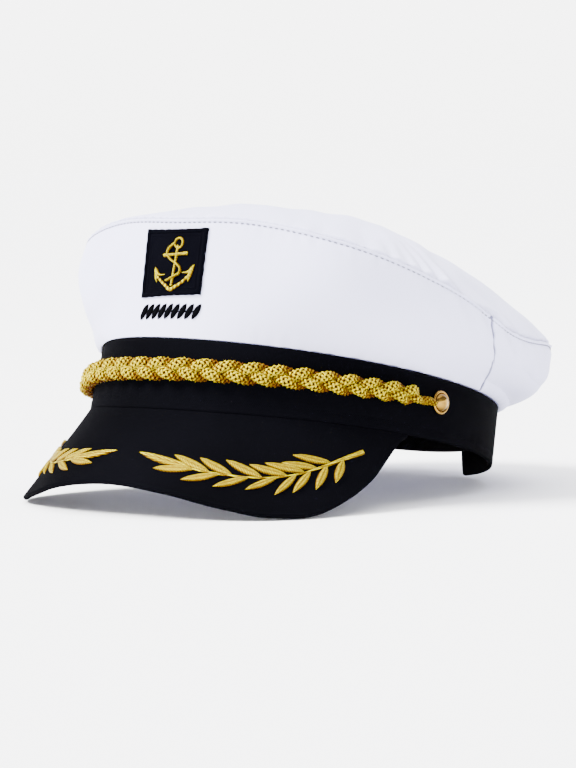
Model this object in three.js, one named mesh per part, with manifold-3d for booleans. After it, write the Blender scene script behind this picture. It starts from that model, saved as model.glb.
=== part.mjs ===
import * as THREE from 'three';
import { TessellateModifier } from 'three/addons/modifiers/TessellateModifier.js';
import { mergeVertices } from 'three/addons/utils/BufferGeometryUtils.js';
import Module from 'manifold-3d';

const wasm = await Module();
wasm.setup();

// A captain's cap at rest. Lengths are in millimetres and angles in degrees.
// The cap's own frame has +Z up the headband, the front at -Y and the wearer's left at +X.
// A turn is the angle round the headband from the front, positive towards the wearer's left.

// Head opening and cloth.
const headLength = 202;
const headWidth = 170;
const clothWall = 2;
const pieceGap = 0.3;

// Headband, with its notch at the back and the strap that bridges it.
const bandHeight = 29;
const bandTaper = 1.1;
const bandFrontDip = 4.1;
const bandSideWave = 2.2;
const notchWidth = 44;
const notchHeight = 20;
const notchChamfer = 5;
const strapLength = 116;
const strapWidth = 14;
const strapWall = 1.6;
const strapLift = 12;

// Crown.
const crownRise = 53.5;
const crownFlare = 20;
const crownBelly = 17;
const crownSag = 18;
const domeRise = 50;
const domeFullness = 2.15;
const domeBack = 4;
const sideSeamTurn = 88;
const sideSeamSlant = 15;

// Peak.
const peakTurn = 76;
const peakReach = 27.9;
const peakDrop = 45.8;
const peakThickness = 2.6;
const peakSpread = 0.37;

// Braid and its buttons.
const braidWidth = 10;
const braidDepth = 6.4;
const braidPitch = 10.4;
const braidLobe = 0.12;
const braidNeckWidth = 3.4;
const braidNeckLength = 14;
const buttonTurn = 85.5;
const buttonHeight = 0.61;
const buttonRadius = 5.4;
const buttonRise = 3.6;

// Embroidery.
const trimTurn = 2;
const patchWidth = 33;
const patchHeight = 30.5;
const patchLift = 14.5;
const patchThickness = 1;
const anchorHeight = 24;
const anchorThickness = 0.9;
const ropeThickness = 1.3;
const barWidth = 30;
const barHeight = 6;
const barDrop = 3.2;
const barThickness = 0.8;
const barStitches = 9;
const sprigSpread = 0.92;
const sprigThickness = 1.1;
const stemWidth = 3.6;
const leafWidth = 3.1;

// Fineness of the faceted surfaces and the distance under which two points are one.
const ringSteps = 72;
const trimStep = 6;
const sameSpot = 1e-4;

// Shape of the crown's wall by turn, alike on both sides, in shares of the crown sizes above.
const crownRows = [
  { turn: 0, flare: 0.1, rise: 1, belly: 0, sag: 0 },
  { turn: 25, flare: 0.3, rise: 1, belly: 0.15, sag: 0.03 },
  { turn: 50, flare: 0.79, rise: 0.88, belly: 0.8, sag: 0.28 },
  { turn: 75, flare: 0.9, rise: 0.67, belly: 0.6, sag: 0.25 },
  { turn: 98, flare: 0.92, rise: 0.45, belly: 0.6, sag: 0.4 },
  { turn: 125, flare: 1, rise: 0.58, belly: 1, sag: 1 },
  { turn: 150, flare: 0.93, rise: 0.62, belly: 0.8, sag: 0.85 },
  { turn: 180, flare: 0.88, rise: 0.58, belly: 0.75, sag: 0.8 },
];

// Outline of the peak by share of its half turn, in shares of its reach and drop.
const peakRows = [
  { turn: 0, reach: 0.715, drop: 0.79 },
  { turn: 0.255, reach: 0.81, drop: 0.855 },
  { turn: 0.46, reach: 0.9, drop: 0.957 },
  { turn: 0.64, reach: 1, drop: 1 },
  { turn: 0.795, reach: 0.927, drop: 0.886 },
  { turn: 0.91, reach: 0.54, drop: 0.535 },
  { turn: 1, reach: 0.04, drop: 0.03 },
];

// Height of the braid's middle line on the band, in shares of the band's height, by share of the button's
// turn. It hangs lower on the wearer's right, which has the negative turns.
const braidRows = [
  { turn: -1, height: 0.61 },
  { turn: -0.8, height: 0.4 },
  { turn: -0.58, height: 0.36 },
  { turn: -0.3, height: 0.49 },
  { turn: 0, height: 0.53 },
  { turn: 0.35, height: 0.56 },
  { turn: 0.65, height: 0.575 },
  { turn: 1, height: 0.61 },
];

// Stem of a sprig from its cut end to its last leaf: turn as a share of the peak's half turn, and the
// distance below the band's edge as a share of the peak's drop.
const stemRows = [
  { turn: 0.82, depth: 0.322 },
  { turn: 0.74, depth: 0.473 },
  { turn: 0.65, depth: 0.629 },
  { turn: 0.58, depth: 0.697 },
  { turn: 0.5, depth: 0.723 },
  { turn: 0.41, depth: 0.718 },
  { turn: 0.32, depth: 0.692 },
  { turn: 0.25, depth: 0.666 },
];

// Leaves of a sprig: place along the stem and length in shares of the stem's length, and lean from the
// stem's run in degrees, positive towards the band.
const leafRows = [
  { along: 0.18, length: 0.21, lean: 46 },
  { along: 0.26, length: 0.185, lean: 42 },
  { along: 0.33, length: 0.215, lean: 42 },
  { along: 0.42, length: 0.215, lean: 33 },
  { along: 0.55, length: 0.235, lean: 30 },
  { along: 0.71, length: 0.23, lean: 24 },
  { along: 0.84, length: 0.27, lean: 16 },
  { along: 0.12, length: 0.185, lean: -58 },
  { along: 0.21, length: 0.185, lean: -53 },
  { along: 0.3, length: 0.175, lean: -43 },
  { along: 0.375, length: 0.17, lean: -43 },
  { along: 0.47, length: 0.175, lean: -23 },
  { along: 0.62, length: 0.19, lean: -24 },
  { along: 0.78, length: 0.21, lean: -22 },
  { along: 0.93, length: 0.25, lean: -10 },
  { along: 0.93, length: 0.41, lean: 6 },
];

// Anchor outlines in shares of its height, from its middle, +x towards the wearer's left.
const shankLine = [
  { x: 0.03, y: 0.34 },
  { x: 0.02, y: 0.1 },
  { x: -0.01, y: -0.42 },
];
const stockLine = [
  { x: -0.27, y: 0.155 },
  { x: 0.27, y: 0.19 },
];
const armLine = [
  { x: -0.41, y: -0.22 },
  { x: -0.28, y: -0.36 },
  { x: -0.04, y: -0.47 },
  { x: 0.22, y: -0.37 },
  { x: 0.38, y: -0.2 },
];
const ropeLine = [
  { x: -0.05, y: 0.38 },
  { x: -0.17, y: 0.28 },
  { x: -0.18, y: 0.18 },
  { x: -0.1, y: 0.08 },
  { x: 0.04, y: 0 },
  { x: 0.15, y: -0.09 },
  { x: 0.14, y: -0.18 },
  { x: 0.03, y: -0.24 },
  { x: -0.14, y: -0.32 },
];
const flukeRows = [
  { tipX: -0.455, tipY: -0.06, innerX: -0.2, innerY: -0.2, lowerX: -0.38, lowerY: -0.34 },
  { tipX: 0.45, tipY: -0.02, innerX: 0.19, innerY: -0.17, lowerX: 0.35, lowerY: -0.34 },
];

const bandLong = headLength / 2 + clothWall;
const bandWide = headWidth / 2 + clothWall;
const strapOut = clothWall + pieceGap;
const trimOut = pieceGap;

const degrees = THREE.MathUtils.radToDeg;
const radians = THREE.MathUtils.degToRad;
const mix = THREE.MathUtils.lerp;

// Evenly spaced numbers from one value to another, both kept.
function spread(from, to, steps) {
  return Array.from({ length: steps + 1 }, (_, i) => mix(from, to, i / steps));
}

// A column's value at a turn, joined smoothly through the rows and level at both ends of the table.
function readRows(rows, column, turn) {
  const last = rows.length - 1;
  const at = THREE.MathUtils.clamp(turn, rows[0].turn, rows[last].turn);
  const i = Math.min(rows.findLastIndex((row) => row.turn <= at), last - 1);
  const step = (k) => (rows[k + 1][column] - rows[k][column]) / (rows[k + 1].turn - rows[k].turn);
  const slope = (k) => {
    if (k === 0 || k === last) return 0;
    const before = rows[k].turn - rows[k - 1].turn;
    const after = rows[k + 1].turn - rows[k].turn;
    return mix(step(k - 1), step(k), before / (before + after));
  };
  const span = rows[i + 1].turn - rows[i].turn;
  const u = (at - rows[i].turn) / span;
  const start = (1 + 2 * u) * (1 - u) ** 2 * rows[i][column];
  const end = u * u * (3 - 2 * u) * rows[i + 1][column];
  return start + end + span * u * (1 - u) * ((1 - u) * slope(i) - u * slope(i + 1));
}

// One closed body from triangles of points: equal points are shared, empty faces are dropped and the rest
// are turned outwards.
function solidFrom(triangles) {
  const loose = new THREE.BufferGeometry();
  const positions = triangles.flat().flatMap((point) => point.toArray());
  loose.setAttribute('position', new THREE.Float32BufferAttribute(positions, 3));
  const shared = mergeVertices(loose, sameSpot);
  const corners = [...shared.index.array];
  const kept = [];
  for (let i = 0; i < corners.length; i += 3) {
    const face = corners.slice(i, i + 3);
    if (new Set(face).size === 3) kept.push(...face);
  }
  shared.setIndex(signedVolume(shared.attributes.position, kept) < 0 ? kept.reverse() : kept);
  shared.computeVertexNormals();
  return shared;
}

function signedVolume(positions, corners) {
  const [a, b, c] = [new THREE.Vector3(), new THREE.Vector3(), new THREE.Vector3()];
  let sum = 0;
  for (let i = 0; i < corners.length; i += 3) {
    a.fromBufferAttribute(positions, corners[i]);
    b.fromBufferAttribute(positions, corners[i + 1]);
    c.fromBufferAttribute(positions, corners[i + 2]);
    sum += a.dot(b.cross(c));
  }
  return sum;
}

function addQuad(triangles, a, b, c, d) {
  triangles.push([a, b, c], [a, c, d]);
}

// Closed wall between an outer and an inner grid of points. A round wall joins its last column to its
// first.
function wallSolid(outer, inner, round) {
  const triangles = [];
  const columns = outer.length;
  const top = outer[0].length - 1;
  for (let i = 0; i < (round ? columns : columns - 1); i += 1) {
    const next = (i + 1) % columns;
    for (let j = 0; j < top; j += 1) {
      addQuad(triangles, outer[i][j], outer[next][j], outer[next][j + 1], outer[i][j + 1]);
      addQuad(triangles, inner[i][j], inner[i][j + 1], inner[next][j + 1], inner[next][j]);
    }
    addQuad(triangles, outer[i][0], inner[i][0], inner[next][0], outer[next][0]);
    addQuad(triangles, outer[i][top], outer[next][top], inner[next][top], inner[i][top]);
  }
  for (let j = 0; j < (round ? 0 : top); j += 1) {
    addQuad(triangles, outer[0][j], outer[0][j + 1], inner[0][j + 1], inner[0][j]);
    const end = columns - 1;
    addQuad(triangles, outer[end][j], inner[end][j], inner[end][j + 1], outer[end][j + 1]);
  }
  return solidFrom(triangles);
}

// Closed tube through a row of rings of points, with a flat fan at each end.
function ringSolid(rings) {
  const triangles = [];
  const around = rings[0].length;
  for (let i = 0; i + 1 < rings.length; i += 1) {
    for (let j = 0; j < around; j += 1) {
      const k = (j + 1) % around;
      addQuad(triangles, rings[i][j], rings[i + 1][j], rings[i + 1][k], rings[i][k]);
    }
  }
  for (let j = 1; j + 1 < around; j += 1) {
    const end = rings.at(-1);
    triangles.push([rings[0][0], rings[0][j], rings[0][j + 1]], [end[0], end[j + 1], end[j]]);
  }
  return solidFrom(triangles);
}

// Joins overlapping solids into one.
function fuse(geometries) {
  const solids = geometries.map((geometry) => {
    const bare = new THREE.BufferGeometry();
    bare.setAttribute('position', geometry.attributes.position);
    bare.setIndex(geometry.index);
    const shared = mergeVertices(bare, sameSpot);
    const vertProperties = new Float32Array(shared.attributes.position.array);
    const triVerts = new Uint32Array(shared.index.array);
    return new wasm.Manifold(new wasm.Mesh({ numProp: 3, vertProperties, triVerts }));
  });
  const mesh = solids.reduce((sum, solid) => sum.add(solid)).getMesh();
  const joined = new THREE.BufferGeometry();
  joined.setAttribute('position', new THREE.BufferAttribute(mesh.vertProperties, 3));
  joined.setIndex(new THREE.BufferAttribute(mesh.triVerts, 1));
  return joined;
}

// Moves each point of a flat-made solid to its place on a curved surface, with its long edges split first.
function bend(geometry, place) {
  const fine = new TessellateModifier(trimStep, 8).modify(geometry);
  const positions = fine.attributes.position;
  const corners = Array.from({ length: positions.count }, (_, i) => {
    const point = new THREE.Vector3().fromBufferAttribute(positions, i);
    return place(point.x, point.y, point.z);
  });
  return solidFrom(facesOf(corners));
}

function facesOf(corners) {
  return Array.from({ length: corners.length / 3 }, (_, i) => corners.slice(3 * i, 3 * i + 3));
}

// Point on the band's outer face at a share of its height, moved out along the face's normal.
function bandPoint(turn, share, out) {
  const angle = radians(turn);
  const wide = bandWide - bandTaper * share;
  const long = bandLong - bandTaper * share;
  const dip = -bandFrontDip * Math.cos(angle) - bandSideWave * Math.cos(2 * angle);
  const at = new THREE.Vector3(wide * Math.sin(angle), -long * Math.cos(angle), 0);
  at.z = share * bandHeight + dip * (1 - share / 2);
  return at.addScaledVector(bandNormal(turn), out);
}

function bandNormal(turn) {
  const angle = radians(turn);
  const flat = new THREE.Vector3(Math.sin(angle) / bandWide, -Math.cos(angle) / bandLong, 0).normalize();
  flat.z = bandTaper / bandHeight;
  return flat.normalize();
}

// Turn through which a length runs along the band at the back.
function backTurn(length) {
  return degrees(length / ((bandWide * bandWide) / bandLong));
}

function makeHeadband() {
  const notchEdge = 180 - degrees(Math.asin(notchWidth / 2 / bandWide));
  const notchStart = notchEdge - backTurn(notchChamfer);
  const notchShare = notchHeight / bandHeight;
  const columns = spread(-notchStart, notchStart, ringSteps - 8).map((turn) => ({ turn, foot: 0 }));
  spread(notchEdge, 360 - notchEdge, 6).forEach((turn) => columns.push({ turn, foot: notchShare }));
  const face = (out) => columns.map(({ turn, foot }) => {
    return [bandPoint(turn, foot, out), bandPoint(turn, 1, out)];
  });
  return wallSolid(face(0), face(-clothWall), true);
}

// Flat strap inside the band, cut to a blunt point at one end.
function makeStrap() {
  const half = backTurn(strapLength) / 2;
  const low = strapLift / bandHeight;
  const high = (strapLift + strapWidth) / bandHeight;
  const point = backTurn(strapWidth / 2);
  const columns = spread(180 - half, 180 + half, 20).map((turn) => ({ turn, pinch: 0 }));
  columns.push({ turn: 180 + half + point, pinch: 0.3 });
  const face = (out) => columns.map(({ turn, pinch }) => [
    bandPoint(turn, mix(low, high, pinch), -out),
    bandPoint(turn, mix(high, low, pinch), -out),
  ]);
  return wallSolid(face(strapOut), face(strapOut + strapWall), false);
}

// Point of the crown's outer cloth. A travel of 0 is the foot on the band, 1 is the top seam and 2 is the
// middle of the top.
function crownPoint(turn, travel) {
  const at = Math.abs(turn > 180 ? turn - 360 : turn);
  const flare = crownFlare * readRows(crownRows, 'flare', at);
  const rise = crownRise * readRows(crownRows, 'rise', at);
  const u = Math.min(travel, 1);
  const bellyOut = flare / 2 + crownBelly * readRows(crownRows, 'belly', at);
  const bellyUp = rise / 2 - crownSag * readRows(crownRows, 'sag', at);
  const point = bandPoint(turn, 1, 0);
  const flat = bandNormal(turn).setZ(0).normalize();
  point.addScaledVector(flat, 2 * u * (1 - u) * bellyOut + u * u * flare);
  point.z += pieceGap + 2 * u * (1 - u) * bellyUp + u * u * rise;
  if (travel > 1) {
    const ring = 2 - travel;
    const middle = new THREE.Vector3(0, domeBack, bandHeight + crownRise / 2 + domeRise);
    const seamHeight = point.z;
    point.lerp(middle, 1 - ring);
    point.z = mix(middle.z, seamHeight, ring ** domeFullness);
  }
  return point;
}

// Outward normal of the crown's cloth. At the top seam it is the mitre of the wall and the top.
function crownNormal(turn, travel) {
  if (travel > 1.999) return new THREE.Vector3(0, 0, 1);
  const nudge = 0.01;
  const side = (from, to) => {
    const around = crownPoint(turn + nudge, travel).sub(crownPoint(turn - nudge, travel));
    const up = crownPoint(turn, to).sub(crownPoint(turn, from));
    return around.cross(up).normalize();
  };
  if (Math.abs(travel - 1) > nudge) return side(travel - nudge / 2, travel + nudge / 2);
  const wall = side(1 - nudge, 1);
  const mitre = wall.clone().add(side(1, 1 + nudge)).normalize();
  return mitre.divideScalar(mitre.dot(wall));
}

// Cloth panel of the crown over a grid of travels and turns. The foot's inner edge lies on the band's rim.
function crownPanel(travels, turnsAt, round) {
  const steps = turnsAt(travels[0]).length;
  const grid = (place) => Array.from({ length: steps }, (_, i) => {
    return travels.map((travel) => place(turnsAt(travel)[i], travel));
  });
  const inner = (turn, travel) => {
    const point = crownPoint(turn, travel);
    if (travel === 0) return point.addScaledVector(bandNormal(turn).setZ(0), -clothWall);
    return point.addScaledVector(crownNormal(turn, travel), -clothWall);
  };
  return wallSolid(grid(crownPoint), grid(inner), round);
}

const seamHalfGap = pieceGap / 2 / crownRise;
const wallTravels = spread(0, 1 - seamHalfGap, 6);
const sideHalfGap = degrees(pieceGap / 2 / bandWide);

function sideSeam(travel) {
  return sideSeamTurn + sideSeamSlant * (1 - travel);
}

function makeFrontPanel() {
  const turnsAt = (travel) => {
    const end = sideSeam(travel) - sideHalfGap;
    return spread(-end, end, 40);
  };
  return crownPanel(wallTravels, turnsAt, false);
}

function makeBackPanel() {
  const turnsAt = (travel) => {
    const start = sideSeam(travel) + sideHalfGap;
    return spread(start, 360 - start, 32);
  };
  return crownPanel(wallTravels, turnsAt, false);
}

function makeTopPanel() {
  const travels = [1 + seamHalfGap, 1.08, 1.22, 1.42, 1.68, 2];
  const turns = spread(-180, 180, ringSteps).slice(1);
  return crownPanel(travels, () => turns, true);
}

// Point of the peak's upper face. A share of 0 is its root under the band and 1 its outer edge.
function peakPoint(turn, share, out = 0) {
  const at = Math.abs(turn) / peakTurn;
  const root = bandPoint(turn, 0, 0);
  root.z -= pieceGap;
  const angle = radians(turn * peakSpread);
  const edge = new THREE.Vector3(Math.sin(angle), -Math.cos(angle), 0);
  edge.multiplyScalar(peakReach * readRows(peakRows, 'reach', at));
  edge.z = -peakDrop * readRows(peakRows, 'drop', at);
  root.addScaledVector(edge, share);
  return out === 0 ? root : root.addScaledVector(peakNormal(turn, share), out);
}

function peakNormal(turn, share) {
  const nudge = 0.01;
  const inside = peakTurn - nudge;
  const at = THREE.MathUtils.clamp(turn, -inside, inside);
  const around = peakPoint(at + nudge, share).sub(peakPoint(at - nudge, share));
  const down = peakPoint(at, 1).sub(peakPoint(at, 0));
  return down.cross(around).normalize();
}

function makePeak() {
  const turns = spread(-peakTurn, peakTurn, 46);
  const shares = [0, 0.5, 1];
  const under = (turn, share) => {
    if (share > 0) return peakPoint(turn, share, -peakThickness);
    return peakPoint(turn, 0).addScaledVector(bandNormal(turn).setZ(0), -peakThickness);
  };
  const upper = turns.map((turn) => shares.map((share) => peakPoint(turn, share)));
  const lower = turns.map((turn) => shares.map((share) => under(turn, share)));
  return wallSolid(upper, lower, false);
}

// Plaited cord as one body: its edges swell in turn above and below, and its ends narrow to necks at the
// buttons.
function makeBraid() {
  const endTurn = buttonTurn - degrees((buttonRadius + pieceGap) / bandLong);
  const ends = [radians(-90 - endTurn), radians(endTurn - 90)];
  const oval = new THREE.EllipseCurve(0, 0, bandWide, bandLong, ...ends);
  const length = oval.getLength();
  const lobes = Math.round(length / braidPitch);
  const sides = 8;
  const rings = spread(0, 1, lobes * 4).map((u) => {
    const turn = mix(-endTurn, endTurn, oval.getUtoTmapping(u));
    const middle = readRows(braidRows, 'height', turn / buttonTurn);
    const fromEnd = Math.min(u, 1 - u) * length;
    const body = THREE.MathUtils.smoothstep(fromEnd, braidNeckLength * 0.7, braidNeckLength);
    const wave = braidLobe * Math.cos(2 * Math.PI * lobes * u) * body;
    const width = mix(braidNeckWidth, braidWidth, body);
    const depth = mix(braidNeckWidth, braidDepth, body);
    return spread(0, 2 * Math.PI, sides).slice(1).map((angle) => {
      const up = (width / 2) * Math.cos(angle) * (1 + Math.sign(Math.cos(angle)) * wave);
      const out = pieceGap + (depth / 2) * (1 + Math.sin(angle));
      return bandPoint(turn, middle + up / bandHeight, out);
    });
  });
  return ringSolid(rings);
}

// Dome button with a rolled rim, its axis along +Y and its flat back at 0.
function makeButton() {
  const rim = buttonRadius * 0.24;
  const profile = [new THREE.Vector2(0, 0), new THREE.Vector2(buttonRadius - rim / 2, 0)];
  for (const angle of spread(-60, 120, 3).map(radians)) {
    const x = buttonRadius - rim / 2 + (rim / 2) * Math.cos(angle);
    profile.push(new THREE.Vector2(x, rim / 2 + (rim / 2) * (1 + Math.sin(angle))));
  }
  for (const angle of spread(0, 90, 4).map(radians)) {
    const y = mix(rim, buttonRise, Math.sin(angle));
    profile.push(new THREE.Vector2((buttonRadius - rim) * Math.cos(angle), y));
  }
  profile.at(-1).x = 0;
  const dome = new THREE.LatheGeometry(profile, 16);
  dome.deleteAttribute('normal');
  dome.deleteAttribute('uv');
  const loose = dome.toNonIndexed().attributes.position;
  const corners = Array.from({ length: loose.count }, (_, i) => {
    return new THREE.Vector3().fromBufferAttribute(loose, i);
  });
  return solidFrom(facesOf(corners));
}

// Point in front of the crown's cloth: across from the trim line, up from the band's rim and out from the
// cloth.
function frontPoint(across, up, out) {
  const x = bandWide * Math.sin(radians(trimTurn)) + across;
  const z = bandHeight + up;
  let turn = degrees(x / bandWide);
  let travel = up / crownRise;
  for (let pass = 0; pass < 24; pass += 1) {
    const at = crownPoint(turn, travel);
    turn += degrees((x - at.x) / bandWide);
    travel += (z - at.z) / crownRise;
  }
  return crownPoint(turn, travel).addScaledVector(crownNormal(turn, travel), out);
}

function makePatch() {
  const columns = spread(-patchWidth / 2, patchWidth / 2, 8);
  const rows = spread(patchLift, patchLift + patchHeight, 4);
  const face = (out) => columns.map((x) => rows.map((y) => frontPoint(x, y, out)));
  return wallSolid(face(trimOut + patchThickness), face(trimOut), false);
}

// Upright extrusion of an outline, with no bevel.
function raise(outline, height) {
  return new THREE.ExtrudeGeometry(outline, { depth: height, bevelEnabled: false, curveSegments: 4 });
}

// Flat strip of a width that may change along a smooth line of points.
function strip(points, widthAt, steps) {
  const line = new THREE.SplineCurve(points.map(({ x, y }) => new THREE.Vector2(x, y)));
  const edge = (side) => spread(0, 1, steps).map((u) => {
    const along = line.getTangent(u);
    const across = new THREE.Vector2(-along.y, along.x);
    return line.getPoint(u).addScaledVector(across, (side * widthAt(u)) / 2);
  });
  return new THREE.Shape([...edge(1), ...edge(-1).reverse()]);
}

// Fouled anchor: ring, stock, shank, arms with flukes, and a rope wound round the shank.
function makeAnchor() {
  const scaled = (points) => points.map(({ x, y }) => ({ x: x * anchorHeight, y: y * anchorHeight }));
  const stroke = anchorHeight * 0.058;
  const even = () => stroke;
  const ring = new THREE.Shape();
  const ringX = 0.04 * anchorHeight;
  const ringY = 0.385 * anchorHeight;
  ring.absarc(ringX, ringY, stroke * 2, 0, 2 * Math.PI);
  const hole = new THREE.Path();
  hole.absarc(ringX, ringY, stroke * 1.15, 0, 2 * Math.PI);
  ring.holes.push(hole);
  const flukes = flukeRows.map((row) => {
    const root = scaled([armLine[row.tipX < 0 ? 0 : armLine.length - 1]])[0];
    const [tip, inner, lower] = scaled([
      { x: row.tipX, y: row.tipY },
      { x: row.innerX, y: row.innerY },
      { x: row.lowerX, y: row.lowerY },
    ]);
    const outline = new THREE.Shape();
    outline.moveTo(tip.x, tip.y);
    outline.quadraticCurveTo(root.x + (inner.x - root.x) * 0.3, mix(root.y, tip.y, 0.25), inner.x, inner.y);
    outline.quadraticCurveTo(mix(root.x, inner.x, 0.2), root.y, lower.x, lower.y);
    outline.quadraticCurveTo(mix(root.x, tip.x, 0.5), root.y, tip.x, tip.y);
    return outline;
  });
  const flat = [
    ring,
    strip(scaled(shankLine), even, 6),
    strip(scaled(stockLine), (u) => stroke * (1 + 0.5 * Math.abs(2 * u - 1)), 4),
    strip(scaled(armLine), (u) => stroke * (1.7 - 1.1 * Math.abs(2 * u - 1)), 16),
    ...flukes,
  ];
  const rope = raise(strip(scaled(ropeLine), () => stroke * 0.8, 22), ropeThickness);
  const solid = fuse([...flat.map((outline) => raise(outline, anchorThickness)), rope]);
  const base = trimOut + patchThickness + pieceGap;
  const middle = patchLift + patchHeight / 2;
  return bend(solid, (x, y, z) => frontPoint(x, middle + y, base + z));
}

// Row of slanted stitches on one thin line, below the patch.
function makeRopeBar() {
  const pitch = barWidth / barStitches;
  const lean = barHeight * 0.28;
  const fullness = pitch * 0.36;
  const pieces = spread(-(barStitches - 1) / 2, (barStitches - 1) / 2, barStitches - 1).map((place) => {
    const middle = place * pitch;
    const outline = new THREE.Shape();
    outline.moveTo(middle - lean, -barHeight / 2);
    outline.quadraticCurveTo(middle + fullness + lean / 2, -barHeight / 8, middle + lean, barHeight / 2);
    outline.quadraticCurveTo(middle - fullness - lean / 2, barHeight / 8, middle - lean, -barHeight / 2);
    return raise(outline, barThickness);
  });
  const reach = ((barStitches - 1) / 2) * pitch;
  const ends = [{ x: -reach, y: 0 }, { x: reach, y: 0 }];
  pieces.push(raise(strip(ends, () => barHeight / 8, 12), barThickness * 0.7));
  const middle = patchLift - barDrop - barHeight / 2;
  return bend(fuse(pieces), (x, y, z) => frontPoint(x, middle + y, trimOut + z));
}

// Laurel sprig on one side of the peak: a stem and pointed leaves, drawn flat and bent to the peak's face.
function makeSprig(side) {
  const runPerTurn = radians(bandLong) * sprigSpread;
  const stem = stemRows.map(({ turn, depth }) => {
    return { x: turn * peakTurn * runPerTurn, y: -depth * peakDrop };
  });
  const line = new THREE.SplineCurve(stem.map(({ x, y }) => new THREE.Vector2(x, y)));
  const stemTaper = (u) => stemWidth * mix(1, 0.3, Math.min(1, u * 3));
  const pieces = [raise(strip(stem, stemTaper, 20), sprigThickness * 0.8)];
  for (const row of leafRows) {
    const foot = line.getPointAt(row.along);
    const heading = line.getTangentAt(row.along).angle() - radians(row.lean);
    const length = row.length * line.getLength();
    const leaf = (u, across) => {
      const point = new THREE.Vector2(u * length, across * leafWidth);
      return point.rotateAround(new THREE.Vector2(), heading).add(foot);
    };
    const outline = new THREE.Shape();
    outline.moveTo(foot.x, foot.y);
    outline.bezierCurveTo(...leaf(0.3, 0.75), ...leaf(0.75, 0.65), ...leaf(1, 0));
    outline.bezierCurveTo(...leaf(0.75, -0.45), ...leaf(0.3, -0.75), foot.x, foot.y);
    pieces.push(raise(outline, sprigThickness));
  }
  return bend(fuse(pieces), (x, y, z) => {
    const turn = x / runPerTurn;
    const depth = peakPoint(turn, 1).distanceTo(peakPoint(turn, 0));
    return peakPoint(side * turn + trimTurn, -y / depth, trimOut + z);
  });
}

const whiteCloth = { color: 0xf3f3f8, roughness: 0.9, metalness: 0 };
const blackCloth = { color: 0x121216, roughness: 0.85, metalness: 0 };
const navyThread = { color: 0x14141f, roughness: 0.7, metalness: 0 };
const goldThread = { color: 0xe3b440, roughness: 0.5, metalness: 0.25 };
const goldMetal = { color: 0xe0ab52, roughness: 0.2, metalness: 1 };

const cap = new THREE.Group();

function addPiece(name, geometry, finish) {
  const mesh = new THREE.Mesh(geometry, new THREE.MeshStandardMaterial(finish));
  mesh.name = name;
  cap.add(mesh);
  return mesh;
}

addPiece('crown_front_panel', makeFrontPanel(), whiteCloth);
addPiece('crown_back_panel', makeBackPanel(), whiteCloth);
addPiece('crown_top_panel', makeTopPanel(), whiteCloth);
const headband = addPiece('headband', makeHeadband(), blackCloth);
addPiece('adjuster_strap', makeStrap(), blackCloth);
const peak = addPiece('peak', makePeak(), blackCloth);
addPiece('braid', makeBraid(), goldThread);
for (const [name, side] of [['button_left', 1], ['button_right', -1]]) {
  const button = addPiece(name, makeButton(), goldMetal);
  button.position.copy(bandPoint(side * buttonTurn, buttonHeight, pieceGap));
  button.quaternion.setFromUnitVectors(new THREE.Vector3(0, 1, 0), bandNormal(side * buttonTurn));
}
addPiece('badge_patch', makePatch(), navyThread);
addPiece('anchor', makeAnchor(), goldThread);
addPiece('rope_bar', makeRopeBar(), blackCloth);
addPiece('sprig_left', makeSprig(1), goldThread);
addPiece('sprig_right', makeSprig(-1), goldThread);

// Lowest point of a piece with the cap leant back by an angle in radians.
function lowestPoint(mesh, lean) {
  const positions = mesh.geometry.attributes.position;
  const turned = new THREE.Euler(-lean, 0, 0);
  const heights = Array.from({ length: positions.count }, (_, i) => {
    return new THREE.Vector3().fromBufferAttribute(positions, i).applyEuler(turned).z;
  });
  return Math.min(...heights);
}

// At rest the cap leans back until the peak's low corners and the back of the band stand on one level.
function restLean() {
  let low = 0;
  let high = radians(45);
  for (let pass = 0; pass < 40; pass += 1) {
    const middle = (low + high) / 2;
    if (lowestPoint(peak, middle) < lowestPoint(headband, middle)) low = middle;
    else high = middle;
  }
  return low;
}

cap.rotation.x = -restLean();
const group = new THREE.Group();
group.add(cap);
group.updateMatrixWorld(true);
const box = new THREE.Box3().setFromObject(group, true);
const centre = box.getCenter(new THREE.Vector3());
cap.position.set(-centre.x, -centre.y, -box.min.z);

export default group;
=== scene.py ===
# A white captain's cap with a black band and peak, a gold plaited braid and gold embroidery.
import math

import bpy
import numpy as np
from mathutils import Matrix, Vector


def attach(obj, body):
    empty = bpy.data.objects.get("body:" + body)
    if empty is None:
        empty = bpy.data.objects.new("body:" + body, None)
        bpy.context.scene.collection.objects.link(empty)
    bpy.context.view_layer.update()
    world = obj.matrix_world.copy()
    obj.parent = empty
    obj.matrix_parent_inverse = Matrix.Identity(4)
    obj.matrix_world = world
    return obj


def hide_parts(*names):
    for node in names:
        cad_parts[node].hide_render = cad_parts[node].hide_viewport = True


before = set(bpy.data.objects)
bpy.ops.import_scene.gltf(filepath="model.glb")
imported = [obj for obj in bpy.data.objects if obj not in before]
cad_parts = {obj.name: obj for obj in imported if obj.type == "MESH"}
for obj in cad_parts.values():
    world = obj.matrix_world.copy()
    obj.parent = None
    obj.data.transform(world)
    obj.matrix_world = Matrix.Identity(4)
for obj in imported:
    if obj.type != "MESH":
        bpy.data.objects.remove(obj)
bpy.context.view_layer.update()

# Shapes are worked out in millimetres in the cap's own frame: +Z up the band, the front at -Y and the
# wearer's left at +X. A turn is the angle round the band from the front, in degrees.
band = dict(wide=87.0, long=103.0, height=29.0, taper=1.1, frontDip=4.1, sideWave=2.2, wall=2.0, gap=0.3)
rest = dict(lean=math.radians(15.35638), back=-0.77505, up=23.80407)


def toRow(points):
    # The cap leant back by its rest angle about X and set on the floor, in metres.
    c, s = math.cos(rest["lean"]), math.sin(rest["lean"])
    x, y, z = points[..., 0], points[..., 1], points[..., 2]
    return np.stack([x, y * c + z * s + rest["back"], z * c - y * s + rest["up"]], -1) / 1000


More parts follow.
